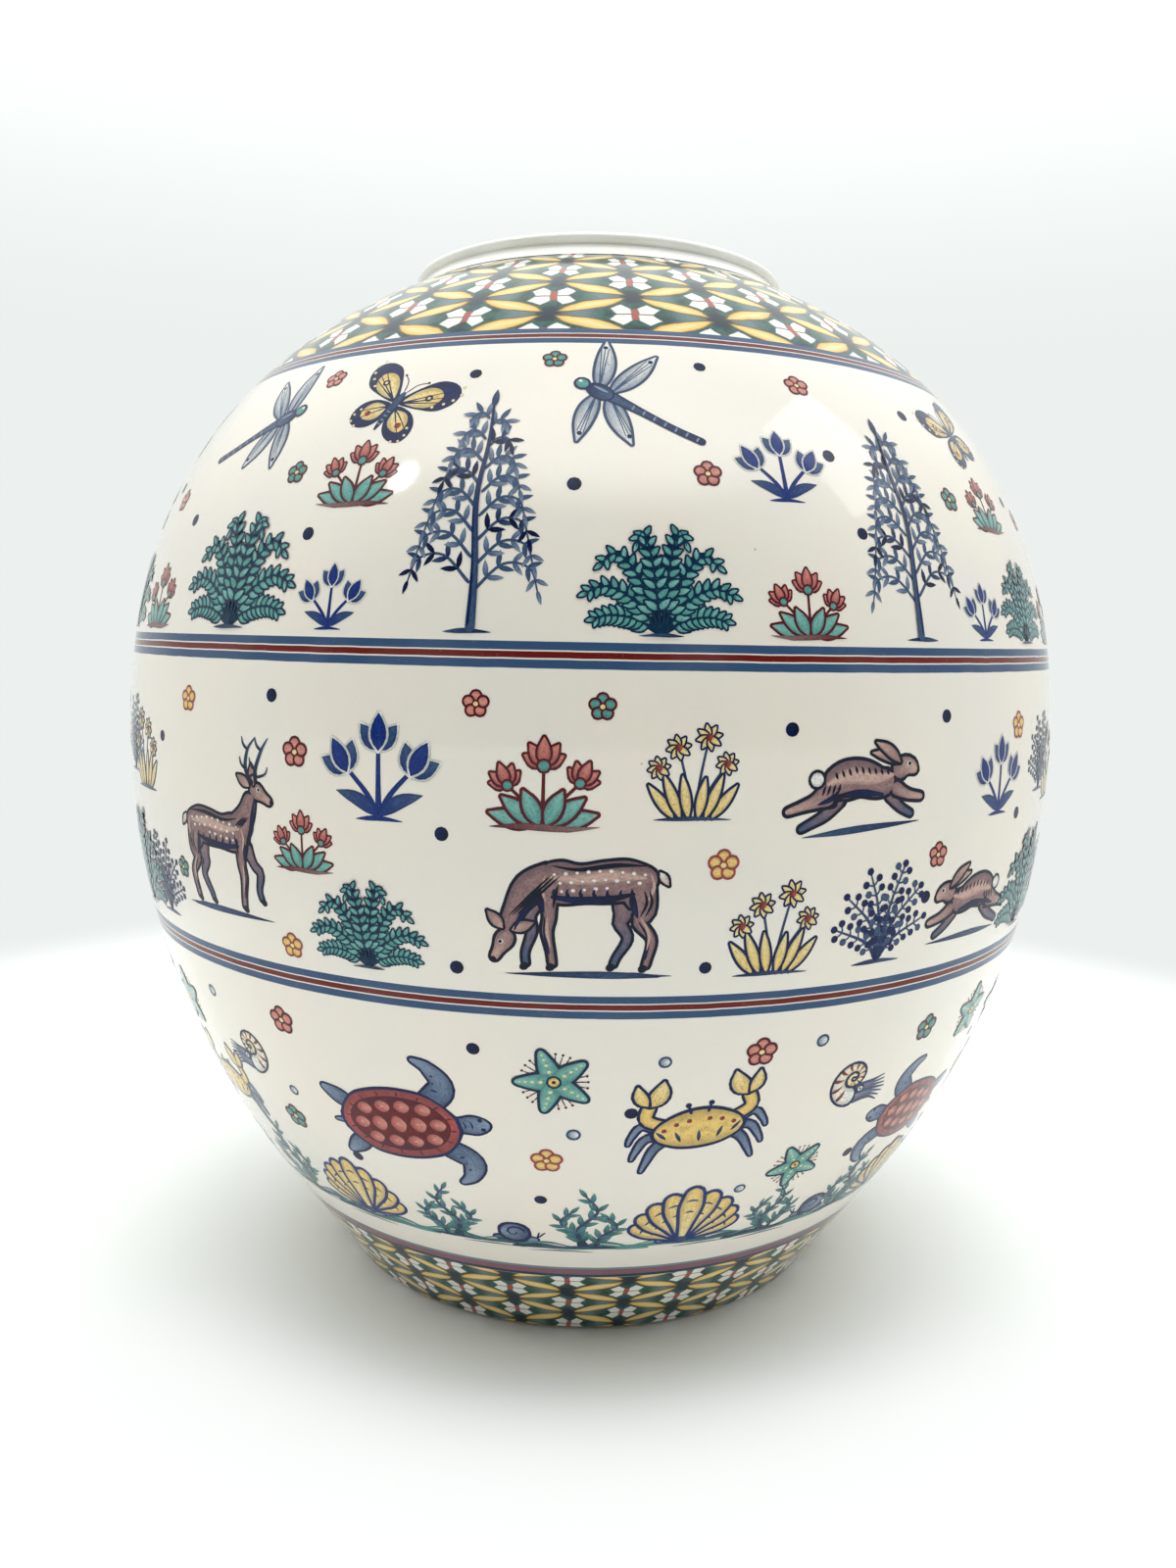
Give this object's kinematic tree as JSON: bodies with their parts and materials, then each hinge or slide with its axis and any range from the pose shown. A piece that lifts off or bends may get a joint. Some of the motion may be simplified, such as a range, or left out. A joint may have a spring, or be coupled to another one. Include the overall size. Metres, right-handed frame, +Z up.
{
  "type": "globe vase",
  "caption": "Free-standing glazed ceramic globe vase with a low collar at its mouth, a foot ring, and printed border, stripe and picture bands round the wall.",
  "frame": {"origin": "on the vase's axis, in the plane that the foot ring stands on", "axes": "+Z up along the axis of turning, -Y towards the side that the picture shows"},
  "size_m": [0.2498, 0.2498, 0.2668],
  "materials": {
    "bare_clay": "matt unglazed biscuit",
    "ivory_glaze": "high gloss clear glaze over ivory",
    "border_print": "printed lattice under high gloss glaze",
    "stripe_print": "printed blue and maroon lines under high gloss glaze"
  },
  "bodies": {
    "root": {"body_shell": "bare_clay", "mouth_collar": "ivory_glaze", "base_floor": "ivory_glaze", "foot_ring": "bare_clay", "inner_glaze": "ivory_glaze", "upper_border": "border_print", "shoulder_stripe": "stripe_print", "upper_frieze": "ivory_glaze", "upper_belly_stripe": "stripe_print", "middle_frieze": "ivory_glaze", "lower_belly_stripe": "stripe_print", "lower_frieze": "ivory_glaze", "foot_stripe": "stripe_print", "lower_border": "border_print"}
  },
  "joints": []
}
